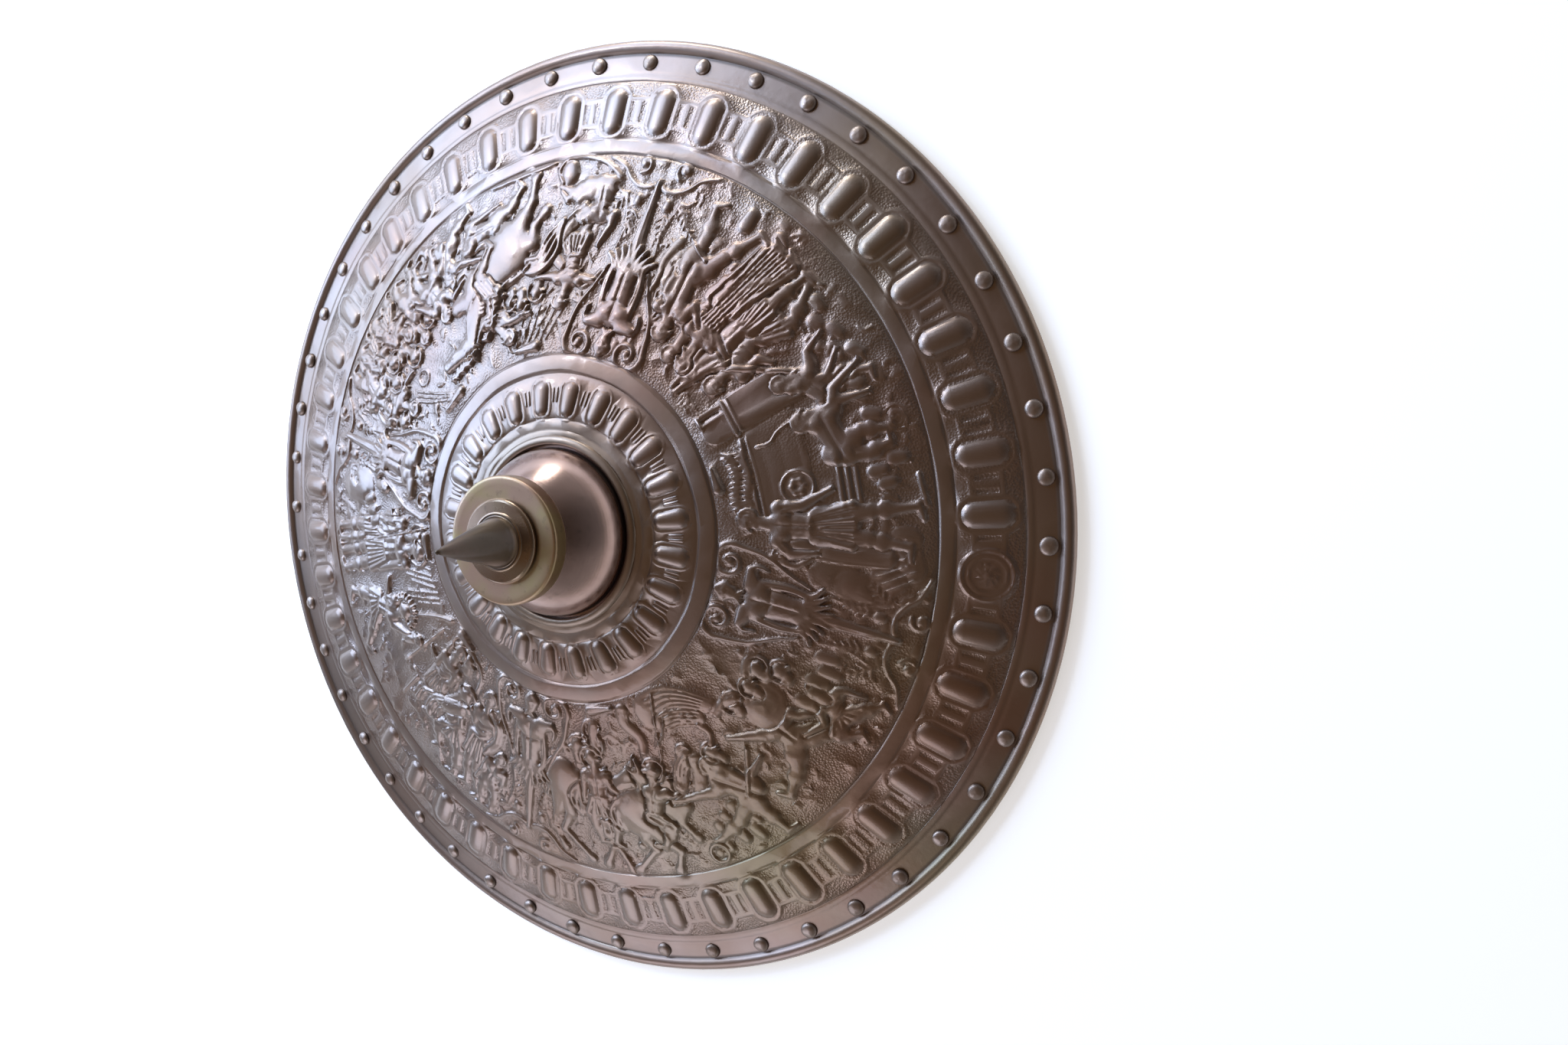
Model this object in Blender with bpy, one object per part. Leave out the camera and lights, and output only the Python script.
import math

import bmesh
import bpy
import numpy as np
from mathutils import Matrix, Vector

# Driving sizes, in metres unless a name says otherwise
SHIELD_RADIUS = 0.290
RIM_ROLL_RADIUS = 0.0042
DOME_SLOPE = 0.302
CROWN_RADIUS = 0.090
WALL = 0.0020
FIT_GAP = 0.0003

# Bands of the sheet, from its middle outwards
HOLE_RADIUS = 0.0512
BEAD_WIDTH = 0.0054
COLLAR_WIDTH = 0.0084
INNER_OVAL_MARGIN = 0.0021
INNER_STRAP_WIDTH = 0.0142
OUTER_STRAP_WIDTH = 0.0081
OUTER_OVAL_MARGIN = 0.0040
RIVET_BORDER = 0.0068
RIVET_EDGE_GAP = 0.0007

# Repeats round the shield
RIVET_COUNT = 48
OUTER_OVAL_COUNT = 48
INNER_OVAL_COUNT = 24

# Embossing
BEAD_HEIGHT = 0.0015
OUTER_OVAL_LENGTH = 0.0275
OUTER_OVAL_WIDTH = 0.0150
OUTER_OVAL_HEIGHT = 0.0042
INNER_OVAL_LENGTH = 0.0215
INNER_OVAL_WIDTH = 0.0112
INNER_OVAL_HEIGHT = 0.0034
LIMB_HEIGHT = 0.0050
BODY_HEIGHT = 0.0072

# Rivets
RIVET_HEAD_RADIUS = 0.0050
RIVET_HEAD_HEIGHT = 0.0027
RIVET_SHANK_RADIUS = 0.0021
RIVET_TAIL_LENGTH = 0.0012

# Boss and spike
BOSS_GAP = 0.0016
BOSS_HEIGHT = 0.0350
BOSS_WALL = 0.0022
BOSS_FLANGE_WIDTH = 0.0070
NECK_RADIUS = 0.0300
NECK_HEIGHT = 0.0025
DISC_RADIUS = 0.0362
DISC_THICKNESS = 0.0105
DISC_EDGE_ROUND = 0.0020
SPIKE_FOOT_RADIUS = 0.0238
SPIKE_FOOT_HEIGHT = 0.0042
SPIKE_FOOT_ROUND = 0.0022
SPIKE_BASE_RADIUS = 0.0138
SPIKE_LENGTH = 0.0470
SPIKE_SHANK_RADIUS = 0.0050
SPIKE_TAIL_RADIUS = 0.0085
SPIKE_TAIL_HEIGHT = 0.0036

# Fineness of the facets
ROUND_STEPS = 96
BACK_STEPS = 48
BOSS_STEPS = 26
SPIKE_STEPS = 16
RELIEF_COLUMNS = 720
RELIEF_ROWS = 110
RELIEF_SOFTENING = 3
RELIEF_TRIANGLES = 2200

# Radii that follow from the sizes above
ROLL_CENTRE = SHIELD_RADIUS - RIM_ROLL_RADIUS
RIVET_LINE = ROLL_CENTRE - 0.9 * RIM_ROLL_RADIUS - RIVET_EDGE_GAP - RIVET_HEAD_RADIUS
OUTER_BAND_OUT = RIVET_LINE - RIVET_HEAD_RADIUS - RIVET_BORDER
OUTER_OVAL_LINE = OUTER_BAND_OUT - OUTER_OVAL_MARGIN - 0.5 * OUTER_OVAL_LENGTH
OUTER_BAND_IN = OUTER_OVAL_LINE - OUTER_OVAL_MARGIN - 0.5 * OUTER_OVAL_LENGTH
FIELD_OUT = OUTER_BAND_IN - OUTER_STRAP_WIDTH
BEAD_OUT = HOLE_RADIUS + BEAD_WIDTH
INNER_BAND_IN = BEAD_OUT + COLLAR_WIDTH
INNER_OVAL_LINE = INNER_BAND_IN + INNER_OVAL_MARGIN + 0.5 * INNER_OVAL_LENGTH
INNER_BAND_OUT = INNER_OVAL_LINE + INNER_OVAL_MARGIN + 0.5 * INNER_OVAL_LENGTH
FIELD_IN = INNER_BAND_OUT + INNER_STRAP_WIDTH
FIELD_DEPTH = FIELD_OUT - FIELD_IN
RELIEF_IN = FIELD_IN - 0.012 * FIELD_DEPTH
RELIEF_OUT = FIELD_OUT + 0.012 * FIELD_DEPTH


def clear_scene():
    for old in list(bpy.data.objects):
        bpy.data.objects.remove(old, do_unlink=True)


def make_material(name, colour, metallic, roughness):
    material = bpy.data.materials.new(name)
    material.use_nodes = True
    shader = material.node_tree.nodes["Principled BSDF"]
    shader.inputs["Base Color"].default_value = colour + (1.0,)
    shader.inputs["Metallic"].default_value = metallic
    shader.inputs["Roughness"].default_value = roughness
    material.diffuse_color = colour + (1.0,)
    return material


def dome(radius):
    # Height of the plain sheet above the floor: a cone with a rounded crown
    far = math.hypot(SHIELD_RADIUS, CROWN_RADIUS)
    return RIM_ROLL_RADIUS + DOME_SLOPE * (far - np.sqrt(np.square(radius) + CROWN_RADIUS ** 2))


def dome_slope(radius):
    return DOME_SLOPE * radius / math.hypot(radius, CROWN_RADIUS)


class Relief:
    # A polar grid of heights that shapes are pressed up into

    def __init__(self, rows, columns):
        self.radii = np.linspace(RELIEF_IN, RELIEF_OUT, rows)
        self.columns = columns
        self.step = 2.0 * math.pi / columns
        turn = np.arange(columns) * self.step
        self.x = self.radii[:, None] * np.cos(turn)[None, :]
        self.y = self.radii[:, None] * np.sin(turn)[None, :]
        self.height = np.zeros((rows, columns))

    def window(self, cx, cy, reach):
        middle = math.hypot(cx, cy)
        rows = np.nonzero(np.abs(self.radii - middle) <= reach)[0]
        if len(rows) == 0:
            return None
        half = math.asin(reach / middle) if reach < middle else math.pi
        facing = math.atan2(cy, cx)
        first = math.floor((facing - half) / self.step)
        last = math.ceil((facing + half) / self.step)
        count = min(last - first + 1, self.columns)
        return np.ix_(rows, (first + np.arange(count)) % self.columns)

    def swell(self, start, end, wide, narrow, top, lift):
        # A rounded limb from start to end, wide at one end and narrow at the other
        reach = 0.5 * math.dist(start, end) + max(wide, narrow)
        place = self.window(0.5 * (start[0] + end[0]), 0.5 * (start[1] + end[1]), reach)
        if place is None:
            return
        px = self.x[place] - start[0]
        py = self.y[place] - start[1]
        dx = end[0] - start[0]
        dy = end[1] - start[1]
        long = max(dx * dx + dy * dy, 1e-12)
        along = np.clip((px * dx + py * dy) / long, 0.0, 1.0)
        away = np.hypot(px - along * dx, py - along * dy) / (wide + (narrow - wide) * along)
        rise = top * np.sqrt(np.clip(1.0 - away * away, 0.0, 1.0))
        rise = rise + lift * np.clip((1.0 - away) * 6.0, 0.0, 1.0)
        self.height[place] = np.maximum(self.height[place], rise)

    def soften(self, passes):
        # Rounds every edge by spreading each height over its neighbours
        for _ in range(passes):
            for axis in (0, 1):
                before = np.roll(self.height, 1, axis=axis)
                after = np.roll(self.height, -1, axis=axis)
                self.height = 0.25 * before + 0.5 * self.height + 0.25 * after

    def strap(self, inner, outer, low, high, top):
        # A flat band between two radii and two angles in degrees
        for row in np.nonzero((self.radii >= inner) & (self.radii <= outer))[0]:
            if high - low >= 360.0:
                columns = np.arange(self.columns)
            else:
                first = math.ceil(math.radians(low) / self.step)
                last = math.floor(math.radians(high) / self.step)
                columns = np.arange(first, last + 1) % self.columns
            self.height[row, columns] = np.maximum(self.height[row, columns], top)


def spot(angle, level):
    # A point of the figure field: angle in degrees, level 0 at the ground line and 1 at the top
    radius = FIELD_OUT - level * FIELD_DEPTH
    return (radius * math.cos(math.radians(angle)), radius * math.sin(math.radians(angle)))


def polar(angle, radius):
    return (radius * math.cos(math.radians(angle)), radius * math.sin(math.radians(angle)))


def stride(start, heading, length):
    # One step from a point, the heading turned clockwise from the way to the shield's centre
    facing = math.atan2(start[1], start[0])
    turn = math.radians(heading)
    ahead = length * math.cos(turn)
    aside = length * math.sin(turn)
    return (start[0] - ahead * math.cos(facing) - aside * math.sin(facing),
            start[1] - ahead * math.sin(facing) + aside * math.cos(facing))


def plate(relief, centre, share, top):
    # A round shield, ball or boss seen flat on
    radius = share * FIELD_DEPTH
    relief.swell(centre, centre, radius, radius, top * 0.7, top * 0.3)


def chain(relief, points, wide, narrow, top, lift):
    # A bent strip that thins from its first point to its last, widths as shares of the field
    pieces = len(points) - 1
    for index in range(pieces):
        begin = FIELD_DEPTH * (wide + (narrow - wide) * index / pieces)
        finish = FIELD_DEPTH * (wide + (narrow - wide) * (index + 1) / pieces)
        relief.swell(points[index], points[index + 1], begin, finish, top, lift)


def curl(relief, centre, outer, inner, turns, begin, width, top):
    # A scroll that winds in towards its centre, sizes as shares of the field
    steps = max(6, int(abs(turns) * 10))
    points = []
    for index in range(steps + 1):
        share = index / steps
        turn = math.radians(begin + 360.0 * turns * share)
        radius = FIELD_DEPTH * (outer + (inner - outer) * share)
        points.append((centre[0] + radius * math.cos(turn), centre[1] + radius * math.sin(turn)))
    chain(relief, points, width, width * 0.8, top, 0.0)
    plate(relief, centre, inner + width, top)


def person(relief, angle, level, size, lean, legs, arms, garb, helmet):
    # A figure from its hips out, every heading clockwise from the way to the centre
    tall = size * FIELD_DEPTH
    low = LIMB_HEIGHT * 0.35
    hips = spot(angle, level)
    chest = stride(hips, lean, 0.24 * tall)
    neck = stride(chest, lean, 0.06 * tall)
    head = stride(neck, lean, 0.085 * tall)
    relief.swell(hips, chest, 0.070 * tall, 0.095 * tall, LIMB_HEIGHT * 0.75, low)
    relief.swell(chest, head, 0.035 * tall, 0.035 * tall, LIMB_HEIGHT * 0.5, low)
    relief.swell(head, head, 0.058 * tall, 0.058 * tall, LIMB_HEIGHT * 0.85, low)
    if helmet:
        crest = stride(head, lean, 0.045 * tall)
        relief.swell(head, crest, 0.066 * tall, 0.050 * tall, LIMB_HEIGHT, low)
    for side, (thigh, shin) in zip((-1.0, 1.0), legs):
        hip = stride(hips, lean + 90.0 * side, 0.035 * tall)
        knee = stride(hip, thigh, 0.24 * tall)
        ankle = stride(knee, shin, 0.23 * tall)
        relief.swell(hip, knee, 0.056 * tall, 0.040 * tall, LIMB_HEIGHT * 0.6, low)
        relief.swell(knee, ankle, 0.038 * tall, 0.022 * tall, LIMB_HEIGHT * 0.5, low)
        relief.swell(ankle, stride(ankle, shin - 80.0, 0.06 * tall), 0.020 * tall, 0.016 * tall,
                     LIMB_HEIGHT * 0.4, low)
    for side, (upper, fore) in zip((-1.0, 1.0), arms):
        shoulder = stride(chest, lean + 90.0 * side, 0.085 * tall)
        elbow = stride(shoulder, upper, 0.17 * tall)
        hand = stride(elbow, fore, 0.17 * tall)
        relief.swell(shoulder, elbow, 0.038 * tall, 0.030 * tall, LIMB_HEIGHT * 0.6, low)
        relief.swell(elbow, hand, 0.030 * tall, 0.022 * tall, LIMB_HEIGHT * 0.5, low)
    if garb > 0.0:
        for share in (-1.0, -0.5, 0.0, 0.5, 1.0):
            hem = stride(hips, 180.0 + lean * 0.5 + 22.0 * share, garb * tall)
            relief.swell(hips, hem, 0.050 * tall, 0.040 * tall, LIMB_HEIGHT * 0.6, low)


def horse(relief, angle, level, size, pitch, neck_turn, head_turn, hind, front):
    # A horse from its belly out, pitch being the heading of its back from rump to chest
    tall = size * FIELD_DEPTH
    low = LIMB_HEIGHT * 0.4
    belly = spot(angle, level)
    rump = stride(belly, pitch + 180.0, 0.17 * tall)
    chest = stride(belly, pitch, 0.18 * tall)
    poll = stride(chest, neck_turn, 0.30 * tall)
    nose = stride(poll, head_turn, 0.22 * tall)
    relief.swell(rump, chest, 0.155 * tall, 0.125 * tall, BODY_HEIGHT * 0.8, low)
    relief.swell(rump, rump, 0.165 * tall, 0.165 * tall, BODY_HEIGHT * 0.85, low)
    relief.swell(chest, poll, 0.110 * tall, 0.055 * tall, LIMB_HEIGHT * 0.9, low)
    relief.swell(poll, nose, 0.058 * tall, 0.032 * tall, LIMB_HEIGHT * 0.8, low)
    for root, (upper, lower) in [(rump, leg) for leg in hind] + [(chest, leg) for leg in front]:
        knee = stride(root, upper, 0.26 * tall)
        hoof = stride(knee, lower, 0.24 * tall)
        relief.swell(root, knee, 0.085 * tall, 0.036 * tall, LIMB_HEIGHT * 0.7, low)
        relief.swell(knee, hoof, 0.030 * tall, 0.024 * tall, LIMB_HEIGHT * 0.5, low)
    tail = [stride(rump, pitch + 170.0 + 14.0 * index, (0.16 + 0.07 * index) * tall) for index in range(5)]
    chain(relief, tail, 0.040 * size, 0.022 * size, LIMB_HEIGHT * 0.5, low)


def herm(relief, angle):
    # A draped half figure on a tapering shaft, with scrolls at its head and its foot
    low = LIMB_HEIGHT * 0.4
    head = spot(angle, 0.90)
    plate(relief, head, 0.050, LIMB_HEIGHT * 1.3)
    for side in (-1.0, 1.0):
        centre = spot(angle + 9.0 * side, 0.95)
        curl(relief, centre, 0.053, 0.016, 0.75 * side, angle + 90.0 * side - 120.0 * side, 0.019,
             LIMB_HEIGHT * 0.5)
        stem = [spot(angle + 12.0 * side, 0.90), spot(angle + 12.0 * side, 0.78),
                spot(angle + 9.0 * side, 0.66), spot(angle + 5.5 * side, 0.50)]
        chain(relief, stem, 0.022, 0.012, LIMB_HEIGHT * 0.4, 0.0)
        chain(relief, [spot(angle, 0.81), spot(angle + 6.0 * side, 0.79)], 0.065, 0.043,
              LIMB_HEIGHT * 0.8, low)
        foot = spot(angle + 3.6 * side, 0.065)
        curl(relief, foot, 0.056, 0.017, 0.8 * side, angle, 0.017, LIMB_HEIGHT * 0.4)
        chain(relief, [spot(angle, 0.10), spot(angle + 5.0 * side, 0.14), spot(angle + 9.0 * side, 0.03)],
              0.019, 0.016, LIMB_HEIGHT * 0.4, 0.0)
        for level in (0.18, 0.26, 0.34):
            bud = spot(angle + 3.4 * side, level)
            plate(relief, bud, 0.026, LIMB_HEIGHT * 0.4)
    chain(relief, [spot(angle, 0.76), spot(angle, 0.55)], 0.108, 0.078, LIMB_HEIGHT * 0.8, low)
    chain(relief, [spot(angle, 0.53), spot(angle, 0.47)], 0.103, 0.065, LIMB_HEIGHT * 0.7, low)
    chain(relief, [spot(angle, 0.45), spot(angle, 0.10)], 0.050, 0.019, LIMB_HEIGHT * 0.7, low)


def emboss_riders(relief):
    # The quarter with riders, a blown banner and a falling man
    horse(relief, 286.0, 0.56, 0.72, 80.0, 40.0, 120.0, [(170, 190), (150, 175)], [(150, 185)])
    horse(relief, 300.0, 0.38, 0.70, 75.0, 30.0, 110.0, [(190, 200), (165, 180)], [(130, 170)])
    for angle, level, size in ((289.0, 0.86, 0.50), (294.0, 0.80, 0.50), (303.0, 0.84, 0.55)):
        person(relief, angle, level - 0.22, size, 0.0, [(160, 170), (200, 190)],
               [(140, 60), (150, 30)], 0.14, True)
    banner = [spot(308.0 + 5.0 * index, 0.70 + 0.20 * math.sin(0.75 * index)) for index in range(5)]
    chain(relief, banner, 0.103, 0.043, LIMB_HEIGHT * 0.5, LIMB_HEIGHT * 0.2)
    person(relief, 316.0, 0.48, 0.62, 10.0, [(150, 200), (195, 170)], [(70, 30), (60, 100)], 0.20, True)
    person(relief, 322.0, 0.30, 0.70, -60.0, [(150, 165), (110, 130)], [(-20, -60), (-120, -100)], 0.0, False)
    person(relief, 336.0, 0.42, 0.78, -25.0, [(190, 215), (145, 170)], [(-50, -10), (60, 20)], 0.0, False)
    plate(relief, spot(344.0, 0.56), 0.112, LIMB_HEIGHT)
    plate(relief, spot(309.0, 0.06), 0.060, LIMB_HEIGHT)


def emboss_building(relief):
    # The quarter with a standing captain, a building and men at work before it
    person(relief, 18.5, 0.46, 0.86, 0.0, [(176, 182), (188, 180)], [(200, 130), (120, 150)], 0.34, True)
    plate(relief, spot(8.0, 0.34), 0.129, LIMB_HEIGHT)
    plate(relief, spot(10.5, 0.14), 0.103, LIMB_HEIGHT * 0.8)
    wall_in = FIELD_OUT - 0.76 * FIELD_DEPTH
    relief.strap(wall_in, FIELD_OUT - 0.10 * FIELD_DEPTH, 23.0, 40.0, LIMB_HEIGHT * 0.25)
    relief.strap(wall_in - 0.052 * FIELD_DEPTH, wall_in, 21.0, 41.0, LIMB_HEIGHT * 0.6)
    for index in range(8):
        leaf = spot(23.0 + 2.2 * index, 0.86)
        chain(relief, [leaf, stride(leaf, 25.0, 0.034 * FIELD_DEPTH)], 0.034, 0.022, LIMB_HEIGHT * 0.6, 0.0)
    plate(relief, spot(27.0, 0.62), 0.069, LIMB_HEIGHT * 0.5)
    chain(relief, [spot(45.5, 0.92), spot(45.5, 0.50)], 0.112, 0.112, LIMB_HEIGHT * 0.7, 0.0)
    relief.strap(FIELD_OUT - 0.80 * FIELD_DEPTH, FIELD_OUT - 0.76 * FIELD_DEPTH, 40.0, 51.0, LIMB_HEIGHT)
    person(relief, 34.0, 0.42, 0.72, 70.0, [(165, 185), (185, 175)], [(150, 170), (170, 190)], 0.0, False)
    person(relief, 45.0, 0.30, 0.66, 80.0, [(150, 190), (180, 170)], [(140, 150), (170, 160)], 0.16, False)
    person(relief, 58.5, 0.46, 0.80, -12.0, [(200, 175), (160, 185)], [(-140, -150), (60, 90)], 0.16, False)
    person(relief, 65.0, 0.55, 0.74, 4.0, [(178, 182), (184, 178)], [(-60, -20), (130, 60)], 0.42, False)
    person(relief, 70.0, 0.52, 0.74, -4.0, [(178, 182), (184, 178)], [(-120, -60), (150, 170)], 0.40, False)
    person(relief, 77.0, 0.42, 0.80, -8.0, [(195, 190), (160, 172)], [(-75, -60), (150, 140)], 0.0, False)
    plate(relief, spot(73.0, 0.09), 0.078, LIMB_HEIGHT * 0.7)


def emboss_charge(relief):
    # The quarter with a rearing horse over fallen men and a crowd
    horse(relief, 122.0, 0.40, 1.00, 42.0, 22.0, 150.0, [(185, 200), (200, 175)], [(70, 160), (95, 175)])
    person(relief, 128.0, 0.58, 0.60, 0.0, [(130, 190), (150, 200)], [(-80, -70), (75, 60)], 0.14, True)
    person(relief, 108.0, 0.42, 0.66, 15.0, [(170, 185), (195, 190)], [(60, 40), (80, 70)], 0.22, True)
    person(relief, 104.0, 0.12, 0.60, 75.0, [(-60, -20), (-40, -70)], [(60, 20), (100, 130)], 0.0, False)
    person(relief, 121.0, 0.10, 0.60, -75.0, [(90, 60), (70, 110)], [(-60, -20), (-100, -80)], 0.0, False)
    person(relief, 138.0, 0.30, 0.70, -30.0, [(195, 185), (150, 175)], [(-40, -80), (30, 60)], 0.0, False)
    person(relief, 147.0, 0.24, 0.62, 10.0, [(185, 200), (160, 175)], [(-60, -30), (60, 20)], 0.16, True)
    person(relief, 154.0, 0.28, 0.66, -15.0, [(190, 180), (160, 175)], [(-70, -30), (50, 30)], 0.18, True)
    person(relief, 161.0, 0.38, 0.66, -8.0, [(185, 180), (165, 175)], [(-60, -20), (60, 40)], 0.18, True)
    plate(relief, spot(150.0, 0.60), 0.095, LIMB_HEIGHT * 0.8)
    chain(relief, [spot(149.0, 0.90), spot(158.0, 0.62)], 0.017, 0.017, LIMB_HEIGHT * 0.4, 0.0)


def emboss_duel(relief):
    # The quarter with guards, a lunging fighter and a line of soldiers
    person(relief, 198.5, 0.46, 0.84, 0.0, [(178, 184), (184, 178)], [(-150, -40), (160, 60)], 0.20, True)
    person(relief, 204.0, 0.44, 0.84, 2.0, [(182, 178), (172, 176)], [(-150, -120), (140, 70)], 0.20, True)
    plate(relief, spot(189.5, 0.26), 0.147, LIMB_HEIGHT)
    chain(relief, [spot(198.0, 0.94), spot(200.0, 0.06)], 0.016, 0.016, LIMB_HEIGHT * 0.8, 0.0)
    person(relief, 216.0, 0.34, 0.78, 28.0, [(205, 190), (130, 190)], [(40, 60), (70, 60)], 0.14, True)
    chain(relief, [spot(228.5, 0.86), spot(229.0, 0.34)], 0.017, 0.017, LIMB_HEIGHT * 0.6, 0.0)
    chain(relief, [spot(226.0, 0.92), spot(220.0, 0.74)], 0.026, 0.012, LIMB_HEIGHT * 0.5, 0.0)
    for angle, level in ((236.0, 0.64), (243.0, 0.62)):
        person(relief, angle, level, 0.56, 0.0, [(165, 175), (195, 185)], [(-130, -80), (130, 80)],
               0.20, True)
    person(relief, 247.0, 0.42, 0.78, -8.0, [(190, 184), (168, 178)], [(-110, -80), (140, 110)], 0.20, True)
    person(relief, 254.5, 0.42, 0.80, 0.0, [(186, 180), (170, 178)], [(-100, -90), (170, 190)], 0.22, False)
    table = FIELD_OUT - 0.43 * FIELD_DEPTH
    relief.strap(table - 0.03 * FIELD_DEPTH, table + 0.03 * FIELD_DEPTH, 231.0, 247.0, LIMB_HEIGHT * 0.6)
    chain(relief, [spot(229.0, 0.42), spot(244.0, 0.50)], 0.016, 0.016, LIMB_HEIGHT * 0.7, 0.0)


def relief_sheet():
    # Spun front of the sheet, pressed up by the relief, then thinned to large facets
    relief = Relief(RELIEF_ROWS, RELIEF_COLUMNS)
    for angle in (0.0, 90.0, 180.0, 270.0):
        herm(relief, angle)
    emboss_riders(relief)
    emboss_building(relief)
    emboss_charge(relief)
    emboss_duel(relief)
    relief.height[0:3, :] = 0.0
    relief.height[-3:, :] = 0.0
    relief.soften(RELIEF_SOFTENING)
    relief.height[0, :] = 0.0
    relief.height[-1, :] = 0.0
    bm = bmesh.new()
    line = [bm.verts.new((radius, 0.0, 0.0)) for radius in relief.radii]
    edges = [bm.edges.new((line[index], line[index + 1])) for index in range(len(line) - 1)]
    bmesh.ops.spin(bm, geom=line + edges, cent=(0, 0, 0), axis=(0, 0, 1), angle=2.0 * math.pi,
                   steps=relief.columns, use_merge=True)
    gap = (RELIEF_OUT - RELIEF_IN) / (RELIEF_ROWS - 1)
    for vert in bm.verts:
        x, y = vert.co.x, vert.co.y
        row = round((math.hypot(x, y) - RELIEF_IN) / gap)
        column = round(math.atan2(y, x) / relief.step) % relief.columns
        vert.co.z = dome(math.hypot(x, y)) + relief.height[row, column]
    bmesh.ops.triangulate(bm, faces=list(bm.faces))
    mesh = bpy.data.meshes.new("relief_front")
    bm.to_mesh(mesh)
    count = len(bm.faces)
    bm.free()
    holder = bpy.data.objects.new("relief_front", mesh)
    bpy.context.collection.objects.link(holder)
    thin = holder.modifiers.new("thin", "DECIMATE")
    thin.ratio = RELIEF_TRIANGLES / count
    graph = bpy.context.evaluated_depsgraph_get()
    result = bpy.data.meshes.new_from_object(holder.evaluated_get(graph))
    bpy.data.objects.remove(holder, do_unlink=True)
    return result


def add_ring(bm, radius, height, steps, offset):
    ring = []
    for index in range(steps):
        turn = 2.0 * math.pi * (index + offset) / steps
        ring.append(bm.verts.new((radius * math.cos(turn), radius * math.sin(turn), height)))
    return ring


def join_rings(bm, first, second, centre=(0.0, 0.0)):
    # Fills the strip between two rings that may have different counts of points
    def bearing(vert):
        return math.atan2(vert.co.y - centre[1], vert.co.x - centre[0]) % (2.0 * math.pi)

    first = sorted(first, key=bearing)
    second = sorted(second, key=bearing)
    angle_of = [[bearing(vert) for vert in ring] for ring in (first, second)]
    for angles in angle_of:
        angles.append(angles[0] + 2.0 * math.pi)
    i = 0
    j = 0
    while i < len(first) or j < len(second):
        a = first[i % len(first)]
        b = second[j % len(second)]
        next_a = angle_of[0][i + 1] if i < len(first) else math.inf
        next_b = angle_of[1][j + 1] if j < len(second) else math.inf
        if abs(next_a - next_b) < 1e-6:
            bm.faces.new((a, first[(i + 1) % len(first)], second[(j + 1) % len(second)], b))
            i += 1
            j += 1
        elif next_a < next_b:
            bm.faces.new((a, first[(i + 1) % len(first)], b))
            i += 1
        else:
            bm.faces.new((a, second[(j + 1) % len(second)], b))
            j += 1


def oval_band(bm, inner, outer, count, line, length, width, height):
    # A row of domed ovals, each in its own sector between two rings of the sheet
    long = 0.5 * length
    wide = 0.5 * width
    outline = [(1.0, 0.32), (0.56, 1.0), (-0.56, 1.0), (-1.0, 0.32),
               (-1.0, -0.32), (-0.56, -1.0), (0.56, -1.0), (1.0, -0.32)]
    for index in range(count):
        turn = 2.0 * math.pi * (index + 0.5) / count
        ring = []
        for out, side in outline:
            radius = line + out * long
            x = radius * math.cos(turn) - side * wide * math.sin(turn)
            y = radius * math.sin(turn) + side * wide * math.cos(turn)
            ring.append(bm.verts.new((x, y, dome(math.hypot(x, y)))))
        tops = []
        for radius in (line + 0.5 * long, line - 0.5 * long):
            top = (radius * math.cos(turn), radius * math.sin(turn), dome(radius) + height)
            tops.append(bm.verts.new(top))
        for step in (7, 0, 6):
            bm.faces.new((ring[step], ring[(step + 1) % 8], tops[0]))
        for step in (2, 3, 4):
            bm.faces.new((ring[step], ring[step + 1], tops[1]))
        bm.faces.new((ring[1], ring[2], tops[1], tops[0]))
        bm.faces.new((ring[5], ring[6], tops[0], tops[1]))
        following = (index + 1) % count
        corners = [inner[index], inner[following], outer[following], outer[index]]
        join_rings(bm, corners, ring, (line * math.cos(turn), line * math.sin(turn)))


def put_object(name, bm, material):
    bmesh.ops.recalc_face_normals(bm, faces=list(bm.faces))
    mesh = bpy.data.meshes.new(name)
    bm.to_mesh(mesh)
    bm.free()
    mesh.materials.append(material)
    obj = bpy.data.objects.new(name, mesh)
    bpy.context.collection.objects.link(obj)
    return obj


def shade_round(obj, degrees):
    obj.data.shade_smooth()
    obj.data.set_sharp_from_angle(angle=math.radians(degrees))


def sheet_normal(radius):
    slope = dome_slope(radius)
    return 1.0 / math.hypot(1.0, slope), slope / math.hypot(1.0, slope)


def rivet_axis(index):
    # A frame on the sheet at one rivet, its Z standing square off the sheet
    turn = 2.0 * math.pi * index / RIVET_COUNT
    up, out = sheet_normal(RIVET_LINE)
    z_axis = Vector((out * math.cos(turn), out * math.sin(turn), up))
    y_axis = Vector((-math.sin(turn), math.cos(turn), 0.0))
    x_axis = y_axis.cross(z_axis)
    frame = Matrix((x_axis, y_axis, z_axis)).transposed().to_4x4()
    frame.translation = (RIVET_LINE * math.cos(turn), RIVET_LINE * math.sin(turn), dome(RIVET_LINE))
    return frame


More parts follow.
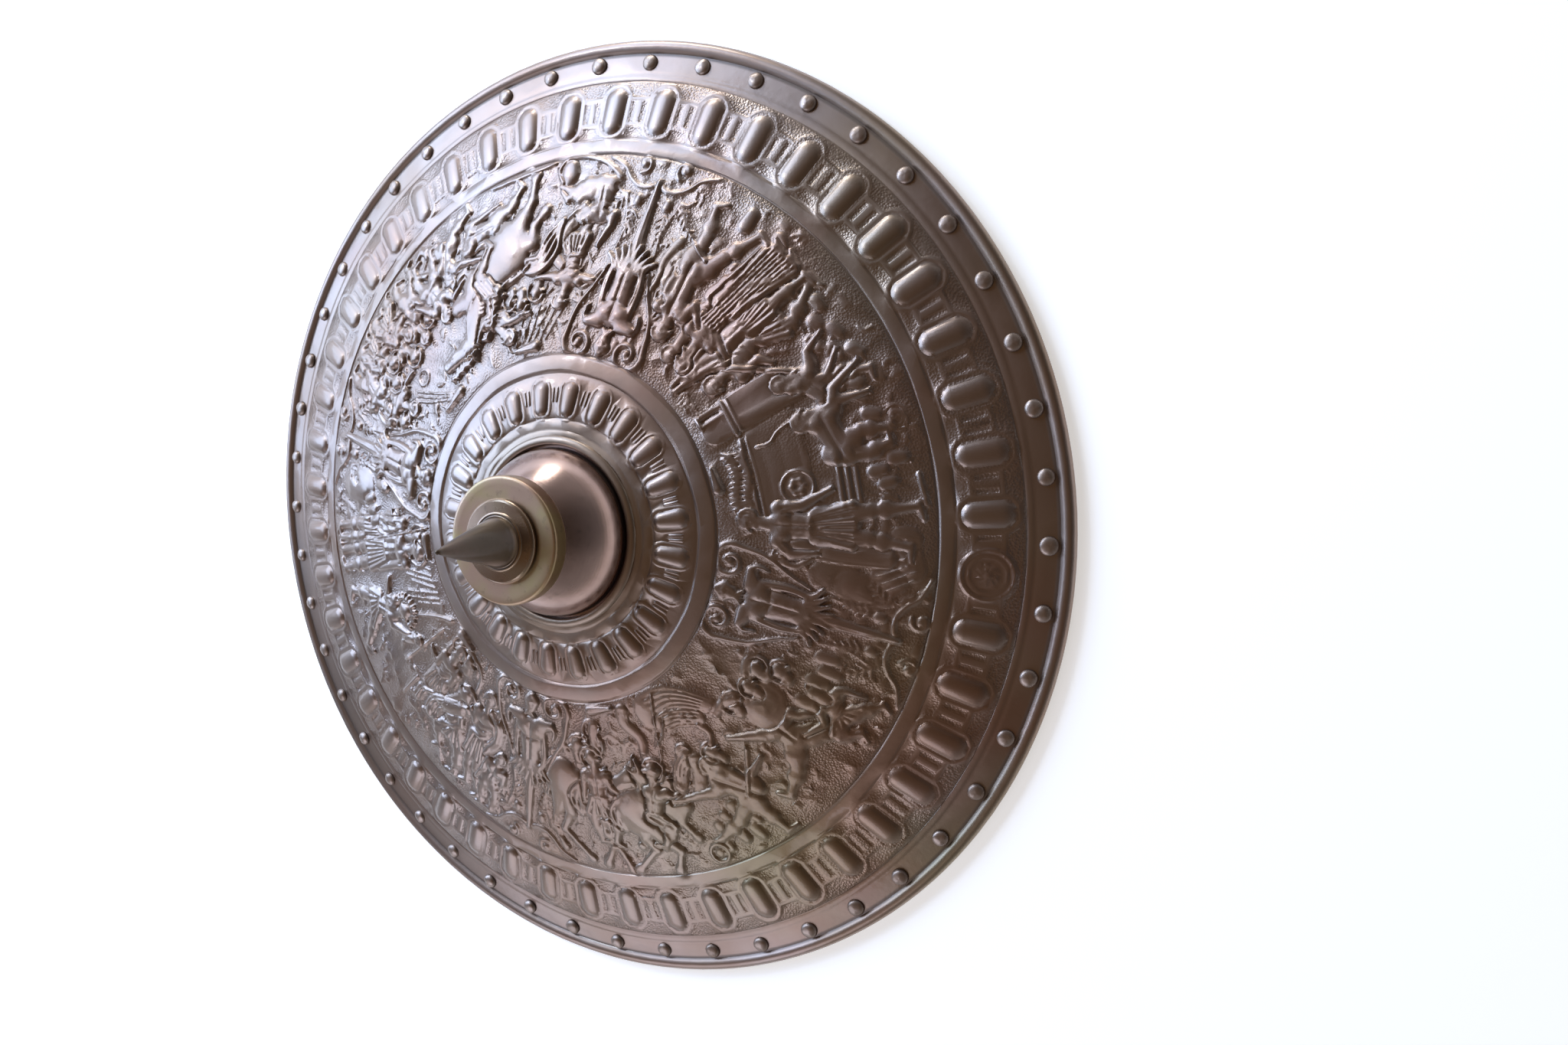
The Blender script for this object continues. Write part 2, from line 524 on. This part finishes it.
def make_disc(material):
    bm = bmesh.new()
    bm.from_mesh(relief_sheet())
    open_edges = [edge for edge in bm.edges if edge.is_boundary]
    middle = 0.5 * (RELIEF_IN + RELIEF_OUT)
    loose = {vert for edge in open_edges for vert in edge.verts}
    inner = [vert for vert in loose if math.hypot(vert.co.x, vert.co.y) < middle]
    outer = [vert for vert in loose if math.hypot(vert.co.x, vert.co.y) > middle]
    # Row of outer ovals, then the rivet band and the rolled rim
    near = add_ring(bm, OUTER_BAND_IN, dome(OUTER_BAND_IN), OUTER_OVAL_COUNT, 0.0)
    far = add_ring(bm, OUTER_BAND_OUT, dome(OUTER_BAND_OUT), OUTER_OVAL_COUNT, 0.0)
    join_rings(bm, outer, near)
    oval_band(bm, near, far, OUTER_OVAL_COUNT, OUTER_OVAL_LINE, OUTER_OVAL_LENGTH,
              OUTER_OVAL_WIDTH, OUTER_OVAL_HEIGHT)
    band_in = RIVET_LINE - RIVET_HEAD_RADIUS
    band_out = ROLL_CENTRE - 0.9 * RIM_ROLL_RADIUS
    rings = [far]
    for radius in (band_in, band_out):
        rings.append(add_ring(bm, radius, dome(radius), ROUND_STEPS, 0.5))
    for angle in (80.0, 20.0):
        turn = math.radians(angle)
        rings.append(add_ring(bm, ROLL_CENTRE + RIM_ROLL_RADIUS * math.cos(turn),
                              RIM_ROLL_RADIUS + RIM_ROLL_RADIUS * math.sin(turn), ROUND_STEPS, 0.5))
    for side in (0.55, -0.42):
        rings.append(add_ring(bm, ROLL_CENTRE + side * RIM_ROLL_RADIUS, 0.0, ROUND_STEPS, 0.5))
    # Back of the sheet, from the rim to the hole
    drop = WALL / sheet_normal(RIVET_LINE)[0]
    for radius in (band_out, band_in, 0.5 * (FIELD_IN + FIELD_OUT), FIELD_IN, HOLE_RADIUS):
        rings.append(add_ring(bm, radius, dome(radius) - drop, BACK_STEPS, 0.5))
    # Bead round the hole, then the row of inner ovals
    crest = HOLE_RADIUS + 0.5 * BEAD_WIDTH
    rings.append(add_ring(bm, HOLE_RADIUS, dome(HOLE_RADIUS), BACK_STEPS, 0.5))
    rings.append(add_ring(bm, crest, dome(crest) + BEAD_HEIGHT, BACK_STEPS, 0.5))
    rings.append(add_ring(bm, BEAD_OUT, dome(BEAD_OUT), BACK_STEPS, 0.5))
    rings.append(add_ring(bm, INNER_BAND_IN, dome(INNER_BAND_IN), INNER_OVAL_COUNT, 0.0))
    last = add_ring(bm, INNER_BAND_OUT, dome(INNER_BAND_OUT), INNER_OVAL_COUNT, 0.0)
    for index in range(len(rings) - 1):
        join_rings(bm, rings[index], rings[index + 1])
    oval_band(bm, rings[-1], last, INNER_OVAL_COUNT, INNER_OVAL_LINE, INNER_OVAL_LENGTH,
              INNER_OVAL_WIDTH, INNER_OVAL_HEIGHT)
    join_rings(bm, last, inner)
    disc = put_object("shield_disc", bm, material)
    cutter = make_cutter()
    cut = disc.modifiers.new("rivet_holes", "BOOLEAN")
    cut.operation = "DIFFERENCE"
    cut.solver = "EXACT"
    cut.object = cutter
    shade_round(disc, 38.0)
    return disc


def make_cutter():
    bm = bmesh.new()
    for index in range(RIVET_COUNT):
        bmesh.ops.create_cone(bm, cap_ends=True, segments=4, radius1=RIVET_SHANK_RADIUS + FIT_GAP,
                              radius2=RIVET_SHANK_RADIUS + FIT_GAP, depth=4.0 * WALL,
                              matrix=rivet_axis(index))
    cutter = put_object("rivet_hole_cutter", bm, make_material("cutter", (0.5, 0.5, 0.5), 0.0, 0.5))
    cutter.hide_render = True
    cutter.display_type = "WIRE"
    return cutter


def make_rivet(index, material):
    # Domed head on the sheet and a square shank through its punched hole
    bm = bmesh.new()
    seat = FIT_GAP
    tip = bm.verts.new((0.0, 0.0, seat + RIVET_HEAD_HEIGHT))
    crown = add_ring(bm, 0.62 * RIVET_HEAD_RADIUS, seat + 0.74 * RIVET_HEAD_HEIGHT, 8, 0.0)
    brim = add_ring(bm, RIVET_HEAD_RADIUS, seat, 8, 0.0)
    neck = add_ring(bm, RIVET_SHANK_RADIUS, seat, 4, 0.0)
    root = add_ring(bm, RIVET_SHANK_RADIUS, -WALL - RIVET_TAIL_LENGTH, 4, 0.0)
    for step in range(8):
        bm.faces.new((tip, crown[step], crown[(step + 1) % 8]))
    for first, second in ((crown, brim), (brim, neck), (neck, root)):
        join_rings(bm, first, second)
    bm.faces.new(root)
    bm.transform(rivet_axis(index))
    rivet = put_object("rivet_%02d" % (index + 1), bm, material)
    shade_round(rivet, 50.0)


def spin_profile(name, profile, steps, material, degrees):
    # Turns a closed or axis-to-axis profile of radius and height pairs into a solid
    bm = bmesh.new()
    verts = [bm.verts.new((radius, 0.0, height)) for radius, height in profile]
    edges = [bm.edges.new((verts[index], verts[index + 1])) for index in range(len(verts) - 1)]
    if profile[0][0] > 0.0 and profile[-1][0] > 0.0:
        edges.append(bm.edges.new((verts[-1], verts[0])))
    bmesh.ops.spin(bm, geom=verts + edges, cent=(0, 0, 0), axis=(0, 0, 1), angle=2.0 * math.pi,
                   steps=steps, use_merge=True)
    bmesh.ops.remove_doubles(bm, verts=list(bm.verts), dist=0.00002)
    obj = put_object(name, bm, material)
    shade_round(obj, degrees)
    return obj


def boss_levels():
    # Heights of the boss: foot in the hole, underside of its collar and face of its collar
    foot = dome(HOLE_RADIUS)
    shoulder = foot + BOSS_HEIGHT
    face = shoulder + DISC_THICKNESS
    return foot, shoulder, face


def make_boss(material):
    foot, shoulder, face = boss_levels()
    base = HOLE_RADIUS - BOSS_GAP
    drop = WALL / sheet_normal(RIVET_LINE)[0]
    under = dome(HOLE_RADIUS + BOSS_FLANGE_WIDTH) - drop - FIT_GAP
    outer = [(HOLE_RADIUS + BOSS_FLANGE_WIDTH, under - BOSS_WALL),
             (HOLE_RADIUS + BOSS_FLANGE_WIDTH, under), (base, under), (base, foot)]
    for step in (1, 2, 4):
        share = step / 5.0
        outer.append((base + (NECK_RADIUS - base) * share ** 1.55,
                      foot + (shoulder - NECK_HEIGHT - foot) * share ** 0.92))
    outer += [(NECK_RADIUS, shoulder - NECK_HEIGHT), (DISC_RADIUS - 0.6 * DISC_EDGE_ROUND, shoulder),
              (DISC_RADIUS, shoulder + DISC_EDGE_ROUND), (DISC_RADIUS, face - DISC_EDGE_ROUND),
              (DISC_RADIUS - 0.9 * DISC_EDGE_ROUND, face), (SPIKE_SHANK_RADIUS + FIT_GAP, face)]
    ceiling = shoulder - BOSS_WALL
    inner = [(SPIKE_SHANK_RADIUS + FIT_GAP, ceiling), (NECK_RADIUS - 2.0 * BOSS_WALL, ceiling)]
    for step in (4, 2):
        share = step / 5.0
        inner.append((base + (NECK_RADIUS - base) * share ** 1.55 - BOSS_WALL,
                      foot + (shoulder - NECK_HEIGHT - foot) * share ** 0.92 - 0.3 * BOSS_WALL))
    inner.append((base - BOSS_WALL, under - BOSS_WALL))
    return spin_profile("boss", outer + inner, BOSS_STEPS, material, 35.0)


def make_spike(material):
    foot, shoulder, face = boss_levels()
    seat = face + FIT_GAP
    ceiling = shoulder - BOSS_WALL - FIT_GAP
    top = seat + SPIKE_FOOT_HEIGHT
    profile = [(0.0, top + SPIKE_LENGTH)]
    for share, width in ((0.98, 0.10), (0.84, 0.33), (0.60, 0.54), (0.26, 0.78), (0.03, 1.0)):
        profile.append((SPIKE_BASE_RADIUS * width, top + SPIKE_LENGTH * share))
    profile += [(SPIKE_BASE_RADIUS * 1.12, top), (SPIKE_FOOT_RADIUS - SPIKE_FOOT_ROUND, top),
                (SPIKE_FOOT_RADIUS, top - SPIKE_FOOT_ROUND), (SPIKE_FOOT_RADIUS, seat),
                (SPIKE_SHANK_RADIUS, seat), (SPIKE_SHANK_RADIUS, ceiling),
                (SPIKE_TAIL_RADIUS, ceiling), (0.7 * SPIKE_TAIL_RADIUS, ceiling - 0.8 * SPIKE_TAIL_HEIGHT),
                (0.0, ceiling - SPIKE_TAIL_HEIGHT)]
    return spin_profile("boss_spike", profile, SPIKE_STEPS, material, 35.0)


def main():
    clear_scene()
    steel = make_material("dark_steel", (0.30, 0.28, 0.27), 1.0, 0.38)
    rivet_steel = make_material("rivet_steel", (0.36, 0.33, 0.30), 1.0, 0.35)
    bronze = make_material("boss_bronze", (0.42, 0.32, 0.23), 1.0, 0.28)
    spike_bronze = make_material("spike_bronze", (0.38, 0.30, 0.22), 1.0, 0.30)
    make_disc(steel)
    make_boss(bronze)
    make_spike(spike_bronze)
    for index in range(RIVET_COUNT):
        make_rivet(index, rivet_steel)


main()
